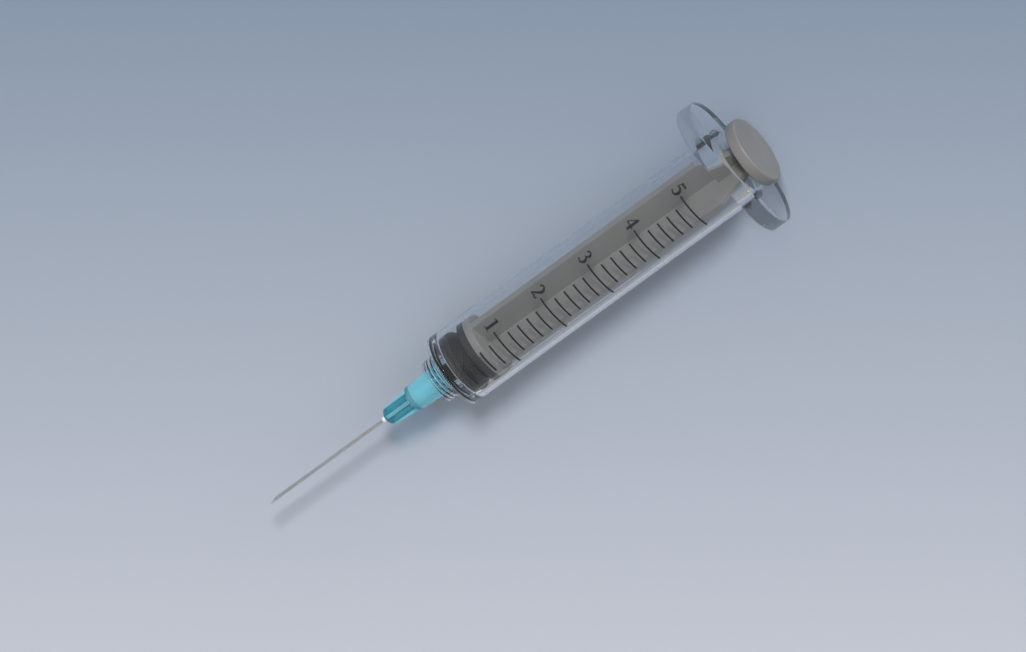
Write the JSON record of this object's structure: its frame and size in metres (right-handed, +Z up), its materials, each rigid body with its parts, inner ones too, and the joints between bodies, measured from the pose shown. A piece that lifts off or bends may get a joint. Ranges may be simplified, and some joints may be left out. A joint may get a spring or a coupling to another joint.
{
  "type": "syringe",
  "caption": "Clear piston syringe with a finger flange, printed volume scale, cross-ribbed plunger, rubber stopper and a luer-lock needle with a finned blue hub.",
  "frame": {"origin": "on the surface it lies on, under the middle of its length and width, with the flat of the finger flange down", "axes": "+X from the needle's point to the thumb disc, +Y across the finger flange's wings, +Z up through the printed scale"},
  "size_m": [0.1046, 0.026, 0.0134],
  "materials": {
    "clear_polypropylene": "clear, smooth and glossy",
    "grey_polypropylene": "opaque, satin",
    "grey_rubber": "matte",
    "blue_polypropylene": "translucent, satin gloss",
    "bright_steel": "drawn and ground, bright",
    "cured_glue": "smooth, whitish"
  },
  "bodies": {
    "barrel": {"barrel": "clear_polypropylene"},
    "stopper": {"stopper": "grey_rubber"},
    "plunger_rod": {"plunger_rod": "grey_polypropylene"},
    "needle": {"needle_hub": "blue_polypropylene", "cannula": "bright_steel", "adhesive_bead": "cured_glue"}
  },
  "joints": [
    {"name": "plunger_slide", "type": "slide", "parent": "barrel", "child": "stopper", "axis": [1, 0, 0], "range_m": [0, 0.052]},
    {"name": "rod_turn", "type": "hinge", "parent": "stopper", "child": "plunger_rod", "pos_m": [-0.00605, 0, 0.00668], "axis": [1, 0, 0], "continuous": true},
    {"name": "needle_release", "type": "slide", "parent": "barrel", "child": "needle", "axis": [-1, 0, 0], "range_m": [0, 0.012]}
  ]
}
